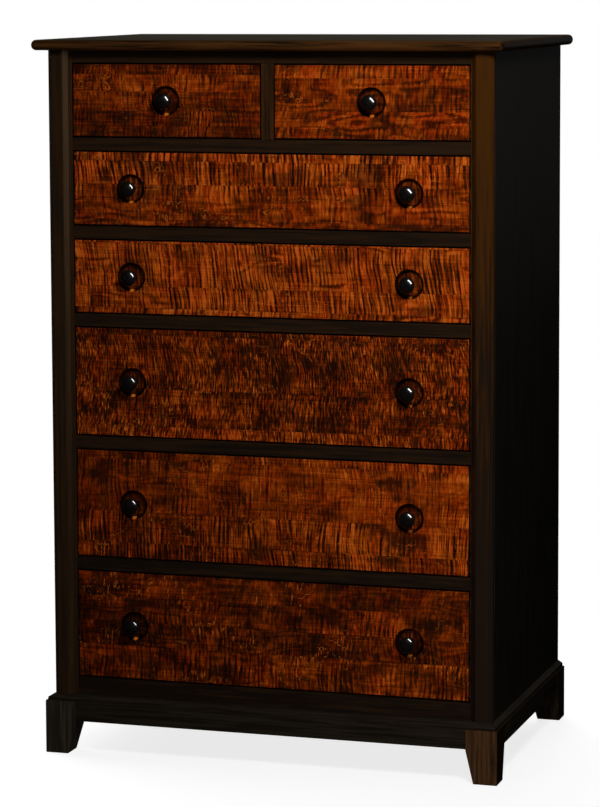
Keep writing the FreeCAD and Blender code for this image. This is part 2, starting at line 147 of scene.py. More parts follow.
class Paint:
    """One material and the nodes that make it."""

    def __init__(self, name: str) -> None:
        """Starts a material with no nodes.

        Args:
            name: the material's name.
        """
        self.material = bpy.data.materials.new(name)
        self.material.use_nodes = True
        self.tree = self.material.node_tree
        self.tree.nodes.clear()

    def node(
        self,
        kind: str,
        settings: Mapping[str, Any] | None = None,
        inputs: Mapping[str | int, Feed] | None = None,
    ) -> bpy.types.Node:
        """Adds a node.

        Args:
            kind: the node's type, without the words ShaderNode.
            settings: the node's own settings, set before its sockets.
            inputs: a value or a link for each named or numbered socket.

        Returns:
            The node.
        """
        made = self.tree.nodes.new("ShaderNode" + kind)
        for name, setting in (settings or {}).items():
            setattr(made, name, setting)
        for key, feed in (inputs or {}).items():
            if isinstance(feed, Value):
                self.tree.links.new(feed.socket, made.inputs[key])
            elif isinstance(feed, bpy.types.NodeSocket):
                self.tree.links.new(feed, made.inputs[key])
            else:
                made.inputs[key].default_value = feed
        return made

    def math(self, operation: str, *terms: Number) -> Value:
        """A Math node on up to two terms."""
        made = self.node("Math", {"operation": operation}, dict(enumerate(terms)))
        return Value(self, made.outputs[0])

    def place(self) -> bpy.types.NodeSocket:
        """Finds the point on the piece.

        Returns:
            The point, in millimetres.
        """
        source = self.node("TexCoord").outputs["Object"]
        size = (1.0 / MM,) * 3
        made = self.node("VectorMath", {"operation": "MULTIPLY"}, {0: source, 1: size})
        return made.outputs[0]

    def parts(self, vector: bpy.types.NodeSocket) -> tuple[Value, Value, Value]:
        """Takes a vector apart.

        Args:
            vector: a point, a direction or a colour.

        Returns:
            Its three numbers.
        """
        made = self.node("SeparateXYZ", inputs={0: vector})
        x, y, z = (Value(self, output) for output in made.outputs)
        return x, y, z

    def point(self, x: Number, y: Number, z: Number) -> bpy.types.NodeSocket:
        """A point from three coordinates."""
        return self.node("CombineXYZ", inputs={0: x, 1: y, 2: z}).outputs[0]

    def noise(
        self, point: bpy.types.NodeSocket, detail: float = 2.0, rough: float = 0.5
    ) -> Value:
        """Smooth noise about one unit across.

        Args:
            point: where the noise is read.
            detail: how many finer layers are added.
            rough: how strong the finer layers are.

        Returns:
            A value from 0 to 1, mostly near 0.5.
        """
        values = {"Vector": point, "Scale": 1.0, "Detail": detail, "Roughness": rough}
        return Value(self, self.node("TexNoise", inputs=values).outputs[0])

    def chance(self, number: Value) -> tuple[Value, Value, Value]:
        """Three random numbers from 0 to 1 that stay the same for the same number."""
        made = self.node("TexWhiteNoise", {"noise_dimensions": "1D"}, {"W": number})
        return self.parts(made.outputs["Color"])

    def step(self, value: Value, ramp: Ramp) -> Value:
        """Rises smoothly from 0 to 1.

        Args:
            value: the value that is looked at.
            ramp: the value up to which the step is 0, and the one from which it is 1.

        Returns:
            The step.
        """
        low, high = ramp
        inputs = {"Value": value, "From Min": low, "From Max": high}
        made = self.node("MapRange", {"interpolation_type": "SMOOTHSTEP"}, inputs)
        return Value(self, made.outputs[0])

    def mix(
        self, share: Number, first: Feed, second: Feed, way: str = "MIX"
    ) -> bpy.types.NodeSocket:
        """Mixes two colours.

        Args:
            share: how much of the second there is.
            first: a colour.
            second: a colour.
            way: the blend mode.

        Returns:
            The mixed colour.
        """
        colours = {0: share, COLOUR_A: opaque(first), COLOUR_B: opaque(second)}
        settings = {"data_type": "RGBA", "blend_type": way, "clamp_factor": True}
        return self.node("Mix", settings, colours).outputs[COLOUR_OUTPUT]

    def bump(self, height: Value, depth: float) -> bpy.types.NodeSocket:
        """A normal that follows a height.

        Args:
            height: from 0 to 1.
            depth: what a height of 1 stands for, in metres.

        Returns:
            The normal.
        """
        made = self.node("Bump", inputs={"Strength": 1.0, "Distance": depth, "Height": height})
        return made.outputs[0]

    def surface(self, inputs: Mapping[str, Feed]) -> bpy.types.Material:
        """Ends the finish with its shader.

        Args:
            inputs: a value or a link for each named socket of the shader.

        Returns:
            The finished material.
        """
        shader = self.node("BsdfPrincipled", inputs=inputs)
        self.node("OutputMaterial", inputs={"Surface": shader.outputs[0]})
        return self.material


def opaque(colour: Feed) -> Feed:
    """A plain colour with the fourth number that its socket wants."""
    return (*colour, 1.0) if isinstance(colour, tuple) else colour


def darker(colour: Colour, share: float) -> Colour:
    """A colour brought down to a share of its light."""
    red, green, blue = colour
    return red * share, green * share, blue * share


@dataclass(frozen=True)
class Cloud:
    """Smooth noise on a flat face.

    Across and up are how fast it changes each way, apart sets it apart from other noise, detail and
    rough give its finer layers, and weight is how much it counts.
    """

    across: float
    up: float
    apart: float = 0.0
    detail: float = 1.0
    rough: float = 0.5
    weight: float = 1.0

    def read(self, paint: Paint, across: Value, up: Value, layer: Number) -> Value:
        """Reads the noise at a point.

        Args:
            paint: the finish.
            across: the point's place across the face.
            up: the point's height.
            layer: which layer of the noise is read.

        Returns:
            A value from 0 to 1, mostly near 0.5.
        """
        point = paint.point(across * self.across, up * self.up, layer)
        return paint.noise(point, self.detail, self.rough)

    def on_stripes(self, width: float) -> "Cloud":
        """The same noise, with the place across counted in stripes of a width."""
        return replace(self, across=self.across / width)


@dataclass(frozen=True)
class Dish:
    """The turned recess round a knob, with painted shade, and a painted glint below the knob.

    The ramps of the wall, the bed and the glint's rim are depths behind the front's face, and the
    others are distances from the knob's middle.
    """

    # Painted shade: the colour that the dish walls and bed are darkened towards.
    burnt: Colour = (0.0045, 0.0020, 0.0010)
    wall: Ramp = (0.05, 0.8)
    wall_share: float = 0.96
    bed: Ramp = (7.6, 9.3)
    bed_share: float = 0.38
    # A painted glint: a lit orange spot on the lower lip of each dish, below the knob.
    worn: Colour = (0.6800, 0.1650, 0.0150)
    worn_aside: Ramp = (2.0, 6.0)
    worn_below: Ramp = (23.5, 25.5)
    worn_rim: Ramp = (0.3, 1.6)
    worn_share: float = 0.90

    def darken(
        self,
        paint: Paint,
        place: tuple[Value, Value, Value],
        face: float,
        knob: tuple[float, float],
        colour: bpy.types.NodeSocket,
    ) -> bpy.types.NodeSocket:
        """Paints shade into the recesses: a painted shadow on the walls, lighter on the bed.

        Args:
            paint: the finish.
            place: the point, as three coordinates.
            face: the place of the front's face, from front to back.
            knob: how far each knob is from the chest's middle, and its height.
            colour: the colour so far.

        Returns:
            The colour with the painted shade in the recesses and a painted glint below each knob.
        """
        x, y, z = place
        depth = y - face / MM
        # Painted shade: the walls of each dish are darkened as if in shadow, and its bed less so.
        wall = paint.step(depth, self.wall) * self.wall_share
        bed = paint.step(depth, self.bed) * self.bed_share
        colour = paint.mix(wall - bed, colour, self.burnt)
        # A painted glint: a lit orange spot on the lower lip of each dish, just below the knob.
        aside = abs(abs(x) - knob[0] / MM)
        below = paint.step(knob[1] / MM - z, self.worn_below)
        worn = (1.0 - paint.step(aside, self.worn_aside)) * below
        worn = worn * paint.step(depth, self.worn_rim)
        return paint.mix(worn * self.worn_share, colour, self.worn)


@dataclass(frozen=True)
class Figure:
    """The figure of a front, worked out once and used by the steps that colour it.

    The place is x across the front, z up it and across over the stripes. Board is the number of
    the board, within the place from its lower edge to its upper one, and luck a random number of
    its own. Stripe and thread are the broad and the narrow stripes, strong how much both show,
    band how far the nearest growth ring is, gleam and fibre finer noise.
    """

    x: Value
    z: Value
    across: Value
    board: Value
    within: Value
    luck: Value
    stripe: Value
    thread: Value
    strong: Value
    band: Value
    gleam: Value
    fibre: Value


@dataclass(frozen=True)
class FiguredMaple:
    """Curly maple, stained amber and lacquered, glued up from level boards.

    The fields up to flame tell one front from another. Lengths are in millimetres: board is the
    usual height of a board, curl the usual width of a stripe, and curl_length how far a stripe runs
    before it changes. The stripes have a strength and a slant, and are stronger above the knobs
    than below them where fade is positive, and weaker where it is negative. Shade makes the whole
    front lighter, and drift its right end. Soak is how much the dark mineral spots show, sparkle
    the gleams, blush the redder patches, grain the fine streaks, and flame the growth rings where
    the stripes are weak.
    """

    seed: float
    board: float = 50.0
    curl: float = 10.0
    curl_length: float = 60.0
    strength: float = 1.0
    slant: float = 0.06
    shade: float = 0.0
    drift: float = 0.0
    soak: float = 0.60
    sparkle: float = 0.22
    blush: float = 0.8
    grain: float = 0.8
    fade: float = 0.0
    flame: float = 0.15

    # The stains from dark to light. Each but the first has the tones over which it takes over.
    shadow: Colour = (0.0130, 0.0040, 0.0018)
    stains: tuple[tuple[Colour, Ramp], ...] = (
        ((0.0830, 0.0120, 0.0010), (-0.12, 0.42)),
        ((0.2450, 0.0350, 0.0013), (0.26, 0.74)),
        ((0.5600, 0.1130, 0.0105), (0.60, 1.20)),
    )
    flash: Colour = (0.9000, 0.2050, 0.0200)
    rose: Colour = (0.96, 0.66, 0.70)
    dish: Dish = Dish()

    # The boards: how the joints wander, how dark they are, and how the boards differ.
    wander_pace: float = 0.011
    wander: float = 1.6
    joint: Ramp = (0.488, 0.499)
    joint_share: float = 0.35
    board_shift: float = 700.0
    board_weight: float = 0.26

    # The stripes: how often they come, and where they are strong.
    sway: Cloud = Cloud(0.006, 0.012, 7.3, weight=18.0)
    wobble: Cloud = Cloud(0.34, 0.7, 3.7, weight=2.4)
    vary: Cloud = Cloud(0.8, 0.9, 9.1)
    thread: Cloud = Cloud(3.4, 1.7, 4.3, 2.0, weight=1.9)
    patch: Cloud = Cloud(0.011, 0.022, 1.9, 2.0)
    least_often: float = 0.85
    more_often: float = 0.4
    between: float = 0.30
    ridge_ramp: Ramp = (0.02, 0.36)
    vary_ramp: Ramp = (0.34, 0.64)
    stripe_weight: float = 0.62
    least_strong: float = 0.35
    more_strong: float = 0.75
    strong_luck: float = 0.40
    patch_ramp: Ramp = (0.38, 0.60)
    knob_ramp: Ramp = (-42.0, 42.0)

    # The growth rings, with the pale lines along them and the gleams.
    rings: Cloud = Cloud(0.0065, 0.022, 21.0, 1.0, 0.55)
    ring_count: float = 8.0
    ring_bend: float = 0.32
    ring_ramp: Ramp = (0.02, 0.40)
    weak_ramp: Ramp = (0.45, 1.0)
    fine: Cloud = Cloud(0.011, 0.016, 31.0)
    broken: Cloud = Cloud(0.05, 0.05)
    line: Ramp = (0.010, 0.042)
    line_patch: Ramp = (0.50, 0.60)
    line_break: Ramp = (0.44, 0.60)
    line_share: float = 0.42
    gleam: Cloud = Cloud(0.34, 0.070, 2.9)
    gleam_ramp: Ramp = (0.62, 0.76)
    gleam_patch: Ramp = (0.48, 0.64)

    # The tone of the wood between the stripes.
    base: float = 0.52
    swell: Cloud = Cloud(0.016, 0.018, 5.1, 2.0, weight=1.15)
    fibre: Cloud = Cloud(1.1, 0.09, weight=0.25)
    rays: Cloud = Cloud(0.008, 0.36, 4.0, 3.0, 0.7, weight=0.95)
    redness: Cloud = Cloud(0.030, 0.014, 8.3, 3.0, 0.6)
    red_ramp: Ramp = (0.42, 0.60)
    mineral: Cloud = Cloud(0.013, 0.018, 6.7, 2.0)
    mineral_thread: float = 0.45
    mineral_stripe: float = 0.06
    mineral_ramp: Ramp = (0.58, 0.66)

    # The lacquer.
    rough: float = 0.42
    rough_thread: float = 0.06
    rough_fibre: float = 0.12
    gloss: float = 0.16
    sheen: Tint = (1.0, 0.52, 0.16, 1.0)
    relief_fibre: float = 0.6
    relief_thread: float = 0.5
    relief: float = 0.00008

    def material(self, name: str, face: float, knob: tuple[float, float]) -> bpy.types.Material:
        """The finish of one drawer front.

        Args:
            name: the material's name.
            face: the place of the front's face, from front to back.
            knob: how far each knob is from the chest's middle, and its height.

        Returns:
            The material.
        """
        paint = Paint(name)
        place = paint.parts(paint.place())
        figure = self.figure(paint, place[0], place[2], knob[1] / MM)
        colour = self.stain(paint, figure)
        colour = self.lines(paint, figure, colour)
        joint = paint.step(abs(figure.within - 0.5), self.joint)
        colour = paint.mix(joint * self.joint_share, colour, self.shadow)
        # Painted shade in each dish, and a painted glint below each knob.
        colour = self.dish.darken(paint, place, face, knob, colour)
        thread, fibre = figure.thread, figure.fibre
        relief = fibre * self.relief_fibre + thread * self.relief_thread
        return paint.surface(
            {
                "Base Color": colour,
                "Roughness": self.rough + thread * self.rough_thread + fibre * self.rough_fibre,
                "Specular IOR Level": self.gloss,
                "Specular Tint": self.sheen,
                "Normal": paint.bump(relief, self.relief),
            }
        )

    def figure(self, paint: Paint, x: Value, z: Value, knob: float) -> Figure:
        """Works out the boards, their stripes and the growth rings.

        Args:
            paint: the finish.
            x: the place across the front.
            z: the height.
            knob: the knobs' height.

        Returns:
            The figure.
        """
        uneven = paint.noise(paint.point(self.seed, z * self.wander_pace, 0.0), 0.0)
        level = z * (1.0 / self.board) + uneven * self.wander + self.seed
        board = paint.math("FLOOR", level)
        first, second, third = paint.chance(board)
        sway = self.sway.read(paint, x, z, board * self.sway.apart) - 0.5
        lean = (second - 0.5) * 2.0 * self.slant
        across = x + first * self.board_shift + lean * z + sway * self.sway.weight
        ridge, stripe, thread = self.stripes(paint, across, z, board, second)
        patch = self.patch.read(paint, x, z, board * self.patch.apart)
        patch = paint.step(patch + (third - 0.5) * self.strong_luck, self.patch_ramp)
        above = paint.step(z - knob, self.knob_ramp) * 2.0 - 1.0
        rings = self.rings.read(paint, x, z, self.seed + self.rings.apart)
        turns = paint.math("FRACT", rings * self.ring_count + ridge * self.ring_bend)
        return Figure(
            x=x,
            z=z,
            across=across,
            board=board,
            within=paint.math("FRACT", level),
            luck=first,
            stripe=stripe,
            thread=thread,
            strong=(self.least_strong + self.more_strong * patch) * (1.0 + above * self.fade),
            band=abs(turns - 0.5),
            gleam=self.gleam.read(paint, across, z, board * self.gleam.apart),
            fibre=self.fibre.read(paint, x, z, self.seed + self.fibre.apart) - 0.5,
        )

    def stripes(
        self, paint: Paint, across: Value, z: Value, board: Value, luck: Value
    ) -> tuple[Value, Value, Value]:
        """Works out the stripes of the curl.

        Args:
            paint: the finish.
            across: the place across the stripes.
            z: the height.
            board: the number of the board.
            luck: a random number of the board, which sets how often the stripes come.

        Returns:
            How far the point is from the middle of a stripe, the stripe, and the narrow threads.
        """
        run = z * (1.0 / self.curl_length)
        wobble, vary, thread = (
            cloud.on_stripes(self.curl).read(paint, across, run, board * cloud.apart)
            for cloud in (self.wobble, self.vary, self.thread)
        )
        often = (self.least_often + self.more_often * luck) * (1.0 / self.curl)
        ridge = abs(paint.math("FRACT", across * often + wobble * self.wobble.weight) - 0.5)
        crest = 1.0 - paint.step(ridge, self.ridge_ramp)
        return ridge, self.between - crest * paint.step(vary, self.vary_ramp), thread - 0.5

    def stain(self, paint: Paint, figure: Figure) -> bpy.types.NodeSocket:
        """Stains the wood by how dense it is.

        Args:
            paint: the finish.
            figure: the figure of the front.

        Returns:
            The colour of the wood.
        """
        x, z, board, stripe, thread = figure.x, figure.z, figure.board, figure.stripe, figure.thread
        ripple = stripe * self.stripe_weight + thread * self.thread.weight
        swell = self.swell.read(paint, x, z, board * self.swell.apart) - 0.5
        rays = self.rays.read(paint, x, z, self.seed + self.rays.apart) - 0.5
        tone = self.base + self.shade + self.drift * x * MM
        tone = tone + ripple * figure.strong * self.strength + swell * self.swell.weight
        tone = tone + figure.fibre * self.fibre.weight + rays * self.rays.weight
        tone = tone + (figure.luck - 0.5) * self.board_weight + (figure.gleam - 0.5) * self.grain
        weak = 1.0 - paint.step(figure.strong, self.weak_ramp)
        tone = tone + (paint.step(figure.band, self.ring_ramp) - 0.5) * weak * self.flame
        colour: Feed = self.shadow
        for stain, ramp in self.stains:
            colour = paint.mix(paint.step(tone, ramp), colour, stain)
        redness = self.redness.read(paint, figure.across, z, board * self.redness.apart)
        redder = paint.step(redness, self.red_ramp) * self.blush
        colour = paint.mix(redder, colour, self.rose, "MULTIPLY")
        cloud = self.mineral.read(paint, x, z, board * self.mineral.apart)
        spots = cloud + thread * self.mineral_thread - stripe * self.mineral_stripe
        mineral = paint.step(spots, self.mineral_ramp) * self.soak
        return paint.mix(mineral, colour, self.shadow)

    def lines(
        self, paint: Paint, figure: Figure, colour: bpy.types.NodeSocket
    ) -> bpy.types.NodeSocket:
        """Adds the pale growth lines and the gleams along the stripes.

        Args:
            paint: the finish.
            figure: the figure of the front.
            colour: the colour so far.

        Returns:
            The colour with the lines and the gleams.
        """
        fine = self.fine.read(paint, figure.x, figure.z, self.seed + self.fine.apart)
        line = (1.0 - paint.step(figure.band, self.line)) * paint.step(fine, self.line_patch)
        broken = self.broken.read(paint, figure.x, figure.z, self.broken.apart)
        share = line * paint.step(broken, self.line_break) * self.line_share
        colour = paint.mix(share, colour, self.flash)
        spark = paint.step(figure.gleam, self.gleam_ramp) * paint.step(fine, self.gleam_patch)
        return paint.mix(spark * self.sparkle, colour, self.flash)


@dataclass(frozen=True)
class Streak:
    """Noise stretched along the grain, with its size across and along it in millimetres.

    Apart sets it apart from other noise, and detail and rough give its finer layers.
    """

    width: float
    length: float
    apart: float
    detail: float
    rough: float = 0.5


@dataclass(frozen=True)
class StainedWood:
    """Plain timber under a dark stain and a satin lacquer.

    The colour grows lighter by rise for each metre of height above level, a painted light that
    fades down the piece. Faces that look up are olive by the share haze, a painted reflection of
    the room, and faces that look right are dark by the share lee, a painted shade.
    """

    grain: Grain
    seed: float = 0.0
    dark: Colour = (0.0078, 0.0042, 0.0019)
    light: Colour = (0.0330, 0.0125, 0.0032)
    rough: float = 0.46
    gloss: float = 0.20
    sheen: Tint = (1.0, 0.66, 0.38, 1.0)
    # Painted light, painted reflection and painted shade, in that order.
    rise: float = 0.0
    haze: float = 0.0
    lee: float = 0.0
    level: float = 1.0

    # The noises, and how each counts in the wood's tone.
    broad: Streak = Streak(38.0, 420.0, 0.0, 3.0, 0.55)
    streak: Streak = Streak(5.5, 190.0, 7.0, 4.0, 0.6)
    fibre: Streak = Streak(0.8, 42.0, 13.0, 2.0)
    pore: Streak = Streak(0.45, 9.0, 19.0, 1.0)
    seed_steps: tuple[float, float, float] = (1.7, 2.3, 3.1)
    ring_count: float = 7.0
    ring_waver: float = 0.35
    streak_ramp: Ramp = (0.34, 0.66)
    streak_weight: float = 0.45
    broad_weight: float = 0.35
    fibre_weight: float = 0.35
    ring_weight: float = 0.22
    tone_ramp: Ramp = (0.30, 0.98)

    # The pores and the faces that take more or less of the stain.
    pore_ramp: Ramp = (0.60, 0.70)
    pore_share: float = 0.35
    pore_dark: float = 0.35
    end_ramp: Ramp = (0.55, 0.95)
    end_share: float = 0.80
    end_dark: float = 0.40
    up_ramp: Ramp = (0.80, 0.98)
    right_ramp: Ramp = (0.40, 0.90)

    # The lacquer.
    rough_fibre: float = 0.16
    rough_streak: float = 0.10
    relief_fibre: float = 0.5
    relief_pore: float = 0.3
    relief: float = 0.00006

    def material(self, name: str) -> bpy.types.Material:
        """The finish of one piece of the frame.

        Args:
            name: the material's name.

        Returns:
            The material.
        """
        paint = Paint(name)
        place = paint.place()
        broad, streak, fibre, pore = (
            self.along(paint, place, noise)
            for noise in (self.broad, self.streak, self.fibre, self.pore)
        )
        rings = paint.math("FRACT", broad * self.ring_count + streak * self.ring_waver)
        tone = paint.step(streak, self.streak_ramp) * self.streak_weight
        tone = tone + broad * self.broad_weight + fibre * self.fibre_weight
        tone = tone + abs(rings - 0.5) * 2.0 * self.ring_weight
        # Painted light: the wood grows lighter with height.
        height = paint.parts(place)[Grain.UP.value] * MM
        tone = tone + (height - self.level) * self.rise
        colour = paint.mix(paint.step(tone, self.tone_ramp), self.dark, self.light)
        pores = paint.step(pore, self.pore_ramp)
        soaked = darker(self.dark, self.pore_dark)
        colour = self.faces(paint, paint.mix(pores * self.pore_share, colour, soaked))
        rough = self.rough + (fibre - 0.5) * self.rough_fibre
        relief = fibre * self.relief_fibre + (1.0 - pores) * self.relief_pore
        return paint.surface(
            {
                "Base Color": colour,
                "Roughness": rough + (streak - 0.5) * self.rough_streak,
                "Specular IOR Level": self.gloss,
                "Specular Tint": self.sheen,
                "Normal": paint.bump(relief, self.relief),
            }
        )

    def faces(self, paint: Paint, colour: bpy.types.NodeSocket) -> bpy.types.NodeSocket:
        """Colours the faces by where they look.

        Args:
            paint: the finish.
            colour: the colour so far.

        Returns:
            The colour with dark end grain, and with the painted reflection of the haze and the
            painted shade of the lee where they are asked for.
        """
        facing = paint.parts(paint.node("NewGeometry").outputs["True Normal"])
        shade = darker(self.dark, self.end_dark)
        end = paint.step(abs(facing[self.grain.value]), self.end_ramp)
        colour = paint.mix(end * self.end_share, colour, shade)
        if self.haze:
            # A painted reflection: faces that look up turn olive.
            upper = paint.step(facing[Grain.UP.value], self.up_ramp)
            colour = paint.mix(upper * self.haze, colour, OLIVE_REFLECTION)
        if self.lee:
            # Painted shade: faces that look right turn darker.
            right = paint.step(facing[Grain.ACROSS.value], self.right_ramp)
            colour = paint.mix(right * self.lee, colour, shade)
        return colour

    def along(self, paint: Paint, place: bpy.types.NodeSocket, streak: Streak) -> Value:
        """Reads noise that is stretched along the grain.

        Args:
            paint: the finish.
            place: the point on the piece.
            streak: the noise.

        Returns:
            A value from 0 to 1, mostly near 0.5.
        """
        scale = [1.0 / streak.width] * 3
        scale[self.grain.value] = 1.0 / streak.length
        shifts = tuple(self.seed * part + streak.apart for part in self.seed_steps)
        inputs = {0: place, 1: tuple(scale), 2: shifts}
        made = paint.node("VectorMath", {"operation": "MULTIPLY_ADD"}, inputs)
        return paint.noise(made.outputs[0], streak.detail, streak.rough)


@dataclass(frozen=True)
class BlackPolish:
    """Turned wood, ebonised and polished.

    Fine and coarse are how fast the noise changes for each millimetre.
    """

    colour: Colour = (0.0045, 0.0040, 0.0036)
    # The knobs' rubbed colour is wear of the polish.
    worn: Colour = (0.0100, 0.0070, 0.0050)
    worn_ramp: Ramp = (0.50, 0.85)
    fine: float = 1.4
    coarse: float = 0.12
    rough: float = 0.30
    rough_cloud: float = 0.12
    rough_fibre: float = 0.05
    gloss: float = 0.08
    coat: float = 0.80
    coat_rough: float = 0.06
    relief: float = 0.00002

    def material(self, name: str) -> bpy.types.Material:
        """The finish of the knobs.

        Args:
            name: the material's name.

        Returns:
            The material.
        """
        paint = Paint(name)
        x, y, z = paint.parts(paint.place())
        fibre = paint.noise(paint.point(x * self.fine, y * self.coarse, z * self.fine))
        cloud = paint.noise(paint.point(x * self.coarse, y * self.coarse, z * self.coarse))
        rubbed = paint.step(fibre + (cloud - 0.5), self.worn_ramp)
        rough = self.rough + (cloud - 0.5) * self.rough_cloud
        return paint.surface(
            {
                "Base Color": paint.mix(rubbed, self.colour, self.worn),
                "Roughness": rough + (fibre - 0.5) * self.rough_fibre,
                "Specular IOR Level": self.gloss,
                "Coat Weight": self.coat,
                "Coat Roughness": self.coat_rough,
                "Normal": paint.bump(fibre, self.relief),
            }
        )


def body_of(node: str) -> str:
    """The body that a CAD node belongs to."""
    bodies = frame["record"]["behaviour"]["bodies"]
    return next(body for body, nodes in bodies.items() if node in nodes)


def slot_of(node: str) -> str:
    """The record's material slot of a CAD node."""
    rows = frame["record"]["subparts"]
    return next(row["material_slot"] for row in rows if row["node"] == node)


@dataclass(frozen=True)
class Arris:
    """How the edges of a piece are taken off."""

    width: float = 0.8 * MM
    rounds: int = 3

    def ease(self, piece: bpy.types.Object) -> None:
        """Rounds every sharp edge of a piece.

        Args:
            piece: the piece, which gets a live modifier.
        """
        modifier = piece.modifiers.new("arris", "BEVEL")
        modifier.width = self.width
        modifier.segments = self.rounds
        modifier.limit_method = "ANGLE"
        modifier.angle_limit = CREASE
        modifier.harden_normals = True


def link(name: str, shape: bmesh.types.BMesh) -> bpy.types.Object:
    """Turns a mesh being made into a smooth-shaded object.

    Args:
        name: the piece's name.
        shape: the mesh, which is freed.

    Returns:
        The object.
    """
    mesh = bpy.data.meshes.new(name)
    shape.to_mesh(mesh)
    shape.free()
    mesh.shade_smooth()
    mesh.set_sharp_from_angle(angle=CREASE)
    piece = bpy.data.objects.new(name, mesh)
    bpy.context.scene.collection.objects.link(piece)
    return piece


def solids_of(shape: bmesh.types.BMesh) -> list[list[bmesh.types.BMFace]]:
    """Sorts the faces of a CAD mesh by the solid that they close.

    The faces of one solid follow each other, and the solid is complete once each of its edges
    has been passed in both directions.

    Args:
        shape: the mesh, not yet welded.

    Returns:
        The faces of each solid.
    """
    solids: list[list[bmesh.types.BMFace]] = []
    faces: list[bmesh.types.BMFace] = []
    one_way: set[tuple[tuple[float, ...], tuple[float, ...]]] = set()
    for face in shape.faces:
        faces.append(face)
        ring = [tuple(round(part, CORNER_PLACES) for part in vertex.co) for vertex in face.verts]
        for here, there in zip(ring, ring[1:] + ring[:1]):
            if (there, here) in one_way:
                one_way.remove((there, here))
            else:
                one_way.add((here, there))
        if not one_way:
            solids.append(faces)
            faces = []
    return solids + [faces] if faces else solids


def stand_for(piece: bpy.types.Object, node: str) -> None:
    """Makes a piece stand for a CAD node and ride on its body, and looks up the node's slot.

    Args:
        piece: the piece.
        node: the CAD node.
    """
    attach(piece, body_of(node))
    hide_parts(node)
    slot_of(node)


def shaped_copy(node: str, name: str) -> bpy.types.Object:
    """A welded copy of a CAD node with its flat faces whole again.

    Args:
        node: the CAD node.
        name: the new piece's name.

    Returns:
        The piece, which stands for the node.
    """
    shape = bmesh.new()
    shape.from_mesh(frame["nodes"][node].data)
    for faces in solids_of(shape):
        # A dictionary keeps the mesh's own order, so each run welds the piece the same way.
        corners = dict.fromkeys(vertex for face in faces for vertex in face.verts)
        bmesh.ops.remove_doubles(shape, verts=list(corners), dist=WELD)
    bmesh.ops.dissolve_limit(shape, angle_limit=FLAT, verts=shape.verts, edges=shape.edges)
    piece = link(name, shape)
    stand_for(piece, node)
    return piece


def dress(piece: bpy.types.Object, finishes: Iterable[bpy.types.Material]) -> None:
    """Gives a piece its materials.

    Args:
        piece: the piece.
        finishes: the materials, one for each slot.
    """
    piece.data.materials.clear()
    for finish in finishes:
        piece.data.materials.append(finish)


def shaped(node: str, finish: bpy.types.Material, arris: Arris = Arris()) -> bpy.types.Object:
    """A finished copy of a CAD node with eased edges.

    Args:
        node: the CAD node.
        finish: its material.
        arris: how its edges are eased.

    Returns:
        The piece.
    """
    piece = shaped_copy(node, node + "_eased")
    dress(piece, [finish])
    arris.ease(piece)
    return piece


def keep(node: str, finish: bpy.types.Material) -> bpy.types.Object:
    """A CAD node that shows as it is, with a better material.

    Args:
        node: the CAD node.
        finish: its material.

    Returns:
        The node's object.
    """
    piece = frame["nodes"][node]
    if not piece.material_slots:
        piece.data.materials.append(finish)
    for slot in piece.material_slots:
        slot.material = finish
    return piece


@dataclass
class Carcass:
    """The top, the sides, the posts and the back.

    The posts' light stains and rises are for the right one and the left one. A rise is painted
    light: it makes a post lighter towards its top, steeply on the right post.
    """

    # The top's haze is a painted reflection on its upper face.
    top: StainedWood = StainedWood(
        Grain.ACROSS, 3.0, light=(0.0620, 0.0225, 0.0055), rough=0.34, gloss=0.30, sheen=OLIVE,
        haze=0.75,
    )
    post_seed: float = 11.0
    post_dark: Colour = (0.0135, 0.0078, 0.0048)
    post_lights: tuple[Colour, Colour] = ((0.0490, 0.0165, 0.0026), (0.0270, 0.0130, 0.0048))
    # Painted light: how much lighter each post grows towards its top.
    post_rises: tuple[float, float] = (0.90, 0.08)
    panel_seed: float = 23.0
    panel_dark: Colour = (0.0052, 0.0047, 0.0039)
    panel_light: Colour = (0.0130, 0.0106, 0.0076)
    back: StainedWood = StainedWood(Grain.UP, 31.0, rough=0.6)
    top_arris: Arris = Arris(0.5 * MM, 2)
    post_arris: Arris = Arris(0.9 * MM)
    panel_arris: Arris = Arris(0.7 * MM)

    def build(self) -> list[bpy.types.Object]:
        """Makes the carcass.

        Returns:
            Its pieces.
        """
        pieces = [shaped("top_panel", self.top.material("top_finish"), self.top_arris)]
        # Each post gets its light stain and its painted light rise.
        stains = zip(("right", "left"), self.post_lights, self.post_rises)
        for number, (hand, light, rise) in enumerate(stains):
            seed = self.post_seed + number
            post = StainedWood(Grain.UP, seed, self.post_dark, light, rise=rise)
            finish = post.material("post_finish_" + hand)
            pieces.append(shaped("corner_post_" + hand, finish, self.post_arris))
            seed = self.panel_seed + number
            panel = StainedWood(Grain.UP, seed, self.panel_dark, self.panel_light, sheen=OLIVE)
            finish = panel.material("side_finish_" + hand)
            pieces.append(shaped("side_panel_" + hand, finish, self.panel_arris))
        finish = self.back.material("back_finish")
        pieces.append(shaped("back_panel", finish, self.panel_arris))
        return pieces


@dataclass
class FrontFrame:
    """The rails and the stile that the drawers close level with."""

    dividers: int = 5
    seed: float = 41.0
    dark: Colour = (0.0088, 0.0056, 0.0038)
    light: Colour = (0.0235, 0.0112, 0.0050)
    # Painted light: the rails grow lighter the higher they sit.
    rise: float = 0.25
    stile: StainedWood = StainedWood(
        Grain.UP, 53.0, (0.0100, 0.0060, 0.0032), (0.0420, 0.0165, 0.0052)
    )
    arris: Arris = Arris(0.6 * MM)

    def build(self) -> list[bpy.types.Object]:
        """Makes the front frame.

        Returns:
            Its pieces.
        """
        names = ["top_rail", "bottom_rail"]
        names += ["divider_rail_" + str(number + 1) for number in range(self.dividers)]
        pieces = []
        for number, name in enumerate(names):
            seed = self.seed + number
            rail = StainedWood(Grain.ACROSS, seed, self.dark, self.light, rise=self.rise)
            pieces.append(shaped(name, rail.material(name + "_finish"), self.arris))
        pieces.append(shaped("centre_stile", self.stile.material("stile_finish"), self.arris))
        return pieces


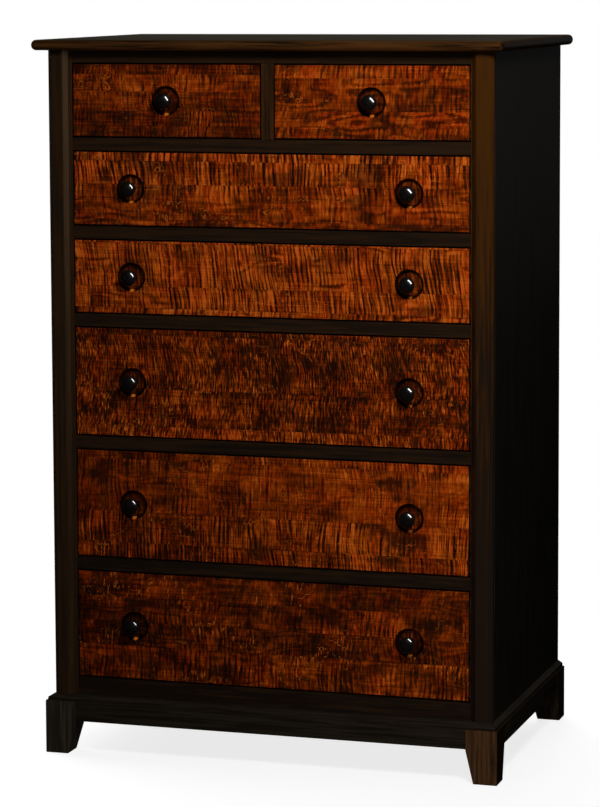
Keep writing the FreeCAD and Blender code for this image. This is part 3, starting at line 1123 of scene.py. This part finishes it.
@dataclass
class Plinth:
    """The moulded frame under the carcass, its aprons and its feet.

    The front feet stand in the light, which is painted into lighter colours of their own.
    """

    dark: Colour = (0.0078, 0.0060, 0.0041)
    light: Colour = (0.0198, 0.0146, 0.0093)
    # Painted light: lighter colours for the front feet, which stand in the light.
    right_dark: Colour = (0.0160, 0.0085, 0.0046)
    right_light: Colour = (0.0660, 0.0290, 0.0112)
    left_dark: Colour = (0.0140, 0.0115, 0.0078)
    left_light: Colour = (0.0420, 0.0345, 0.0235)
    across: StainedWood = StainedWood(Grain.ACROSS, 61.0, dark, light)
    deep: StainedWood = StainedWood(Grain.DEEP, 62.0, dark, light)
    feet: tuple[tuple[str, StainedWood], ...] = (
        # The lee paints shade on the right side of the right front foot.
        ("front_right", StainedWood(Grain.UP, 71.0, right_dark, right_light, lee=0.9)),
        ("front_left", StainedWood(Grain.UP, 72.0, left_dark, left_light)),
        ("rear_right", StainedWood(Grain.UP, 73.0, dark, light)),
        ("rear_left", StainedWood(Grain.UP, 74.0, dark, light)),
    )
    frame_arris: Arris = Arris(0.9 * MM)
    foot_arris: Arris = Arris(1.4 * MM)

    def build(self) -> list[bpy.types.Object]:
        """Makes the plinth.

        Returns:
            Its pieces.
        """
        woods = (("across", self.across), ("deep", self.deep))
        boards = [wood.material("plinth_finish_" + way) for way, wood in woods]
        pieces = []
        for node in ("plinth_frame", "aprons"):
            piece = shaped_copy(node, node + "_eased")
            dress(piece, boards)
            self.turn_grain(piece)
            self.frame_arris.ease(piece)
            pieces.append(piece)
        for place, wood in self.feet:
            finish = wood.material("foot_finish_" + place)
            pieces.append(shaped("foot_" + place, finish, self.foot_arris))
        return pieces

    def turn_grain(self, piece: bpy.types.Object) -> None:
        """Gives the boards that run from front to back the second material.

        Args:
            piece: the piece, made of boards that aren't welded to each other.
        """
        shape = bmesh.new()
        shape.from_mesh(piece.data)
        left = set(shape.faces)
        while left:
            board = self.whole_board(left.pop())
            left -= board
            points = [vertex.co for face in board for vertex in face.verts]
            width = max(p.x for p in points) - min(p.x for p in points)
            depth = max(p.y for p in points) - min(p.y for p in points)
            for face in board:
                face.material_index = int(depth > width)
        shape.to_mesh(piece.data)
        shape.free()

    def whole_board(self, start: bmesh.types.BMFace) -> set[bmesh.types.BMFace]:
        """Every face of the board that a face belongs to.

        Args:
            start: one face.

        Returns:
            The faces joined to it.
        """
        found = {start}
        waiting = [start]
        while waiting:
            face = waiting.pop()
            for edge in face.edges:
                fresh = [other for other in edge.link_faces if other not in found]
                found.update(fresh)
                waiting += fresh
        return found


@dataclass
class InnerFrame:
    """What carries and guides the drawers behind the front."""

    grains: tuple[tuple[str, Grain], ...] = (
        ("drawer_runners", Grain.DEEP),
        ("rear_rails", Grain.ACROSS),
        ("top_kickers", Grain.DEEP),
        ("centre_partition", Grain.DEEP),
    )
    seed: float = 81.0
    raw_dark: Colour = (0.30, 0.185, 0.085)
    raw_light: Colour = (0.50, 0.345, 0.185)
    rough: float = 0.7
    gloss: float = 0.25

    def build(self) -> list[bpy.types.Object]:
        """Dresses the inner frame.

        Returns:
            Its pieces.
        """
        pieces = []
        for number, (name, grain) in enumerate(self.grains):
            stains = (self.raw_dark, self.raw_light)
            wood = StainedWood(grain, self.seed + number, *stains, self.rough, self.gloss, WHITE)
            pieces.append(keep(name, wood.material(name + "_finish")))
        return pieces


@dataclass
class Knob:
    """A turned knob.

    The profile runs from the floor of its dish to its crown. Each point has its distance from the
    knob's middle and its reach in front of the drawer's face, in millimetres.
    """

    profile: tuple[tuple[float, float], ...] = (
        (0.0, -9.5),
        (8.9, -9.5),
        (8.9, -8.9),
        (7.9, -5.0),
        (6.9, 0.0),
        (7.1, 4.5),
        (8.7, 9.4),
        (11.7, 13.4),
        (14.7, 15.5),
        (16.6, 18.0),
        (16.5, 20.7),
        (13.3, 24.0),
        (7.4, 27.1),
        (0.0, 28.0),
    )
    steps: int = 24
    smoothing: int = 2

    def turn(self, shape: bmesh.types.BMesh, x: float, face: float, z: float) -> None:
        """Turns one knob into a mesh.

        Args:
            shape: the mesh to add to.
            x: the knob's place across the chest.
            face: the place of the drawer's face, from front to back.
            z: the knob's height.
        """
        line = [
            shape.verts.new((x + out * MM, face - reach * MM, z)) for out, reach in self.profile
        ]
        edges = [shape.edges.new(pair) for pair in zip(line, line[1:])]
        bmesh.ops.spin(
            shape,
            geom=line + edges,
            cent=(x, face, z),
            axis=(0.0, 1.0, 0.0),
            angle=FULL_TURN,
            steps=self.steps,
            use_merge=True,
        )

    def build(self, node: str, finish: bpy.types.Material) -> bpy.types.Object:
        """Makes the knobs that stand for a CAD node.

        Args:
            node: the CAD node, of one knob or two.
            finish: the knobs' material.

        Returns:
            The piece.
        """
        low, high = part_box(node)
        radius = (high.z - low.z) / 2.0
        face = low.y + self.profile[-1][1] * MM
        middle = (low.z + high.z) / 2.0
        places = (low.x + radius, high.x - radius)
        shape = bmesh.new()
        for x in sorted({round(place, KNOB_PLACES) for place in places}):
            self.turn(shape, x, face, middle)
        bmesh.ops.remove_doubles(shape, verts=shape.verts, dist=WELD)
        bmesh.ops.recalc_face_normals(shape, faces=shape.faces)
        piece = link(node + "_turned", shape)
        dress(piece, [finish])
        smooth = piece.modifiers.new("smooth", "SUBSURF")
        smooth.levels = smooth.render_levels = self.smoothing
        stand_for(piece, node)
        return piece


@dataclass
class Drawer:
    """One drawer: its figured front, its pale box and its knobs."""

    number: int
    knob_node: str
    wood: FiguredMaple
    front_arris: Arris = Arris(0.35 * MM, 2)
    box_arris: Arris = Arris(0.6 * MM, 2)

    def build(
        self, box_finishes: Sequence[bpy.types.Material], polish: bpy.types.Material
    ) -> list[bpy.types.Object]:
        """Makes the drawer.

        Args:
            box_finishes: the materials of the sides, the back and the bottom.
            polish: the knobs' material.

        Returns:
            Its pieces.
        """
        name = "drawer_" + str(self.number)
        low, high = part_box(name + self.knob_node)
        radius = (high.z - low.z) / 2.0
        knob = (abs(high.x - radius), high.z - radius)
        maple = self.wood.material(name + "_maple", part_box(name + "_front")[0].y, knob)
        pieces = [shaped(name + "_front", maple, self.front_arris)]
        for part, finish in zip(("_sides", "_back", "_bottom"), box_finishes):
            pieces.append(shaped(name + part, finish, self.box_arris))
        pieces.append(Knob().build(name + self.knob_node, polish))
        return pieces


@dataclass
class Drawers:
    """All the drawers, from the top down. The first two are small and have one knob each."""

    small: int = 2
    fronts: tuple[FiguredMaple, ...] = (
        FiguredMaple(2.37, board=34.0, curl=9.0, strength=1.15, shade=-0.21),
        FiguredMaple(
            5.11, board=44.0, curl=12.0, curl_length=90.0, strength=0.70, slant=0.3, shade=-0.10,
            blush=1.0, flame=0.42,
        ),
        FiguredMaple(
            8.63, board=62.0, curl=12.0, curl_length=100.0, strength=0.95, shade=-0.03, fade=0.62,
            flame=0.30,
        ),
        FiguredMaple(
            13.29, board=70.0, curl=10.5, curl_length=110.0, strength=1.10, slant=0.12, shade=0.07,
            flame=0.60,
        ),
        FiguredMaple(
            17.71, board=90.0, curl=6.5, curl_length=34.0, shade=-0.24, soak=0.8, sparkle=0.5,
            grain=1.5,
        ),
        FiguredMaple(
            22.43, board=75.0, curl=9.0, curl_length=120.0, slant=0.08, shade=-0.12, drift=0.45,
            soak=0.8, fade=-0.20,
        ),
        FiguredMaple(
            29.87, board=80.0, curl_length=62.0, strength=1.20, slant=0.20, shade=-0.25, drift=0.15,
            soak=0.75, sparkle=0.45, fade=-0.45, flame=0.20,
        ),
    )
    seed: float = 91.0
    pale_dark: Colour = (0.42, 0.27, 0.125)
    pale_light: Colour = (0.66, 0.49, 0.285)
    rough: float = 0.5
    gloss: float = 0.35

    def build(self) -> list[bpy.types.Object]:
        """Makes the drawers.

        Returns:
            Their pieces.
        """
        pale = []
        for number, grain in enumerate((Grain.DEEP, Grain.ACROSS, Grain.ACROSS)):
            stains = (self.pale_dark, self.pale_light)
            wood = StainedWood(grain, self.seed + number, *stains, self.rough, self.gloss, WHITE)
            pale.append(wood.material("drawer_box_finish_" + str(number)))
        polish = BlackPolish().material("knob_finish")
        pieces = []
        for number, front in enumerate(self.fronts, 1):
            knob_node = "_knob" if number <= self.small else "_knobs"
            pieces += Drawer(number, knob_node, front).build(pale, polish)
        return pieces


@dataclass(frozen=True)
class Softbox:
    """A rectangular light.

    It is mirrored in gloss and it lights what is matt, unless the last fields say otherwise, and
    where only is given, it falls on the pieces alone whose names end in it.
    """

    name: str
    place: Place
    aim: Place
    size: tuple[float, float]
    power: float
    turn: float = 0.0
    mirrored: bool = True
    lit: bool = True
    only: str = ""

    def build(self) -> None:
        """Hangs the light and points it."""
        light = bpy.data.lights.new(self.name, "AREA")
        light.shape = "RECTANGLE"
        light.size, light.size_y = self.size
        light.energy = self.power
        lamp = bpy.data.objects.new(self.name, light)
        ray = Vector(self.aim) - Vector(self.place)
        facing = ray.to_track_quat("-Z", "Y").to_matrix().to_4x4()
        turned = facing @ Matrix.Rotation(math.radians(self.turn), 4, "Z")
        lamp.matrix_world = Matrix.Translation(self.place) @ turned
        lamp.visible_camera = False
        lamp.visible_glossy = self.mirrored
        lamp.visible_diffuse = self.lit
        bpy.context.scene.collection.objects.link(lamp)
        if self.only:
            group = bpy.data.collections.new(self.name + "_falls_on")
            for piece in bpy.data.objects:
                if piece.name.endswith(self.only):
                    group.objects.link(piece)
            lamp.light_linking.receiver_collection = group


@dataclass
class Studio:
    """The floor, the lights and the camera.

    The camera was fitted to the photograph: its angles are in degrees, and its focal length is
    counted in pixels of a frame whose longer side has frame_pixels.
    """

    eye: Place = (1.864661, -6.012685, 1.568645)
    yaw: float = 17.531
    pitch: float = 5.818
    roll: float = -0.262
    focal_pixels: float = 3087.048
    frame_pixels: float = 807.0
    sensor: float = 36.0
    shift: tuple[float, float] = (0.00955, -0.14)
    floor_size: float = 400.0
    floor_dark: Colour = (0.30, 0.30, 0.30)
    floor_light: Colour = (0.33, 0.33, 0.33)
    floor_pace: float = 0.0033
    floor_glow: float = 0.80
    floor_fade: Ramp = (700.0, 1500.0)
    lights: tuple[Softbox, ...] = (
        Softbox("key", (1.05, -1.75, 2.15), (0.05, -0.27, 1.25), (0.5, 0.5), 36.0, mirrored=False),
        Softbox("fill", (-1.6, -4.4, 1.6), (0.0, 0.0, 0.75), (2.4, 2.4), 9.0, mirrored=False),
        Softbox("over", (0.4, -0.1, 3.5), (0.0, 0.0, 1.4), (2.0, 1.4), 4.0, mirrored=False),
        Softbox("behind", (-0.8, 3.4, 2.2), (0.0, 0.3, 0.9), (2.2, 2.0), 120.0, mirrored=False),
        Softbox("left", (-3.0, 0.9, 1.8), (-0.45, 0.1, 0.8), (2.0, 2.0), 80.0, mirrored=False),
        Softbox("bounce", (0.90, -1.3, 0.12), (0.35, -0.3, 0.06), (1.0, 0.2), 5.0, mirrored=False),
        Softbox(
            "glint", (1.20, -1.70, 2.25), (0.05, -0.27, 0.85), (1.9, 0.45), 110.0, turn=-58.0,
            lit=False, only="_turned",
        ),
        Softbox(
            "card", (1.30, -1.02, 1.45), (-0.42, -0.28, 1.4), (0.5, 0.6), 8.0, lit=False,
            only="corner_post_left_eased",
        ),
        Softbox("backdrop", (0.0, 6.0, 1.8), (0.0, 0.0, 1.4), (7.0, 2.6), 3.5, lit=False),
    )

    def build(self) -> None:
        """Sets up the studio."""
        self.floor()
        self.sky()
        for light in self.lights:
            light.build()
        self.camera()

    def floor(self) -> None:
        """A pale floor that turns white away from the chest, without an edge in sight."""
        shape = bmesh.new()
        bmesh.ops.create_grid(shape, x_segments=1, y_segments=1, size=self.floor_size / 2.0)
        floor = link("floor", shape)
        paint = Paint("floor_finish")
        x, y, _ = paint.parts(paint.place())
        cloud = paint.noise(paint.point(x * self.floor_pace, y * self.floor_pace, 0.0))
        colour = paint.mix(cloud, self.floor_dark, self.floor_light)
        lit = paint.node("BsdfDiffuse", inputs={"Color": colour})
        glow = paint.node("Emission", inputs={"Color": WHITE, "Strength": self.floor_glow})
        both = paint.node("AddShader", inputs={0: lit.outputs[0], 1: glow.outputs[0]})
        white = paint.node("Emission", inputs={"Color": WHITE, "Strength": 1.0})
        far = paint.step(paint.math("SQRT", x * x + y * y), self.floor_fade)
        blend = paint.node("MixShader", inputs={0: far, 1: both.outputs[0], 2: white.outputs[0]})
        paint.node("OutputMaterial", inputs={"Surface": blend.outputs[0]})
        dress(floor, [paint.material])
        floor.visible_glossy = False
        floor.visible_diffuse = False

    def sky(self) -> None:
        """A white surround that only the camera sees."""
        world = bpy.data.worlds.new("surround")
        bpy.context.scene.world = world
        world.use_nodes = True
        background = world.node_tree.nodes["Background"]
        background.inputs["Color"].default_value = WHITE
        background.inputs["Strength"].default_value = 1.0
        world.cycles_visibility.diffuse = False
        world.cycles_visibility.glossy = False
        bpy.context.scene.view_settings.view_transform = "Standard"

    def camera(self) -> None:
        """The camera at the photograph's angle."""
        lens = bpy.data.cameras.new("camera")
        lens.sensor_width = self.sensor
        lens.lens = self.focal_pixels * self.sensor / self.frame_pixels
        lens.shift_x, lens.shift_y = self.shift
        lens.clip_end = self.floor_size
        yaw, pitch, roll = (math.radians(a) for a in (self.yaw, self.pitch, self.roll))
        level = Vector((-math.sin(yaw), math.cos(yaw), 0.0))
        side = Vector((math.cos(yaw), math.sin(yaw), 0.0))
        upright = Vector((0.0, 0.0, 1.0))
        ahead = level * math.cos(pitch) - upright * math.sin(pitch)
        up = upright * math.cos(pitch) + level * math.sin(pitch)
        right = side * math.cos(roll) + up * math.sin(roll)
        above = up * math.cos(roll) - side * math.sin(roll)
        camera = bpy.data.objects.new("camera", lens)
        turn = Matrix((right, above, -ahead)).transposed().to_4x4()
        camera.matrix_world = Matrix.Translation(self.eye) @ turn
        bpy.context.scene.collection.objects.link(camera)
        bpy.context.scene.camera = camera


def main() -> None:
    """Builds the sub-assemblies in order."""
    logging.basicConfig(level=logging.INFO, format="%(message)s")
    for assembly in (Carcass(), FrontFrame(), Plinth(), InnerFrame(), Drawers()):
        for piece in assembly.build():
            LOG.info("%s: %s", type(assembly).__name__, piece.name)
    Studio().build()


if __name__ == "__main__":
    main()
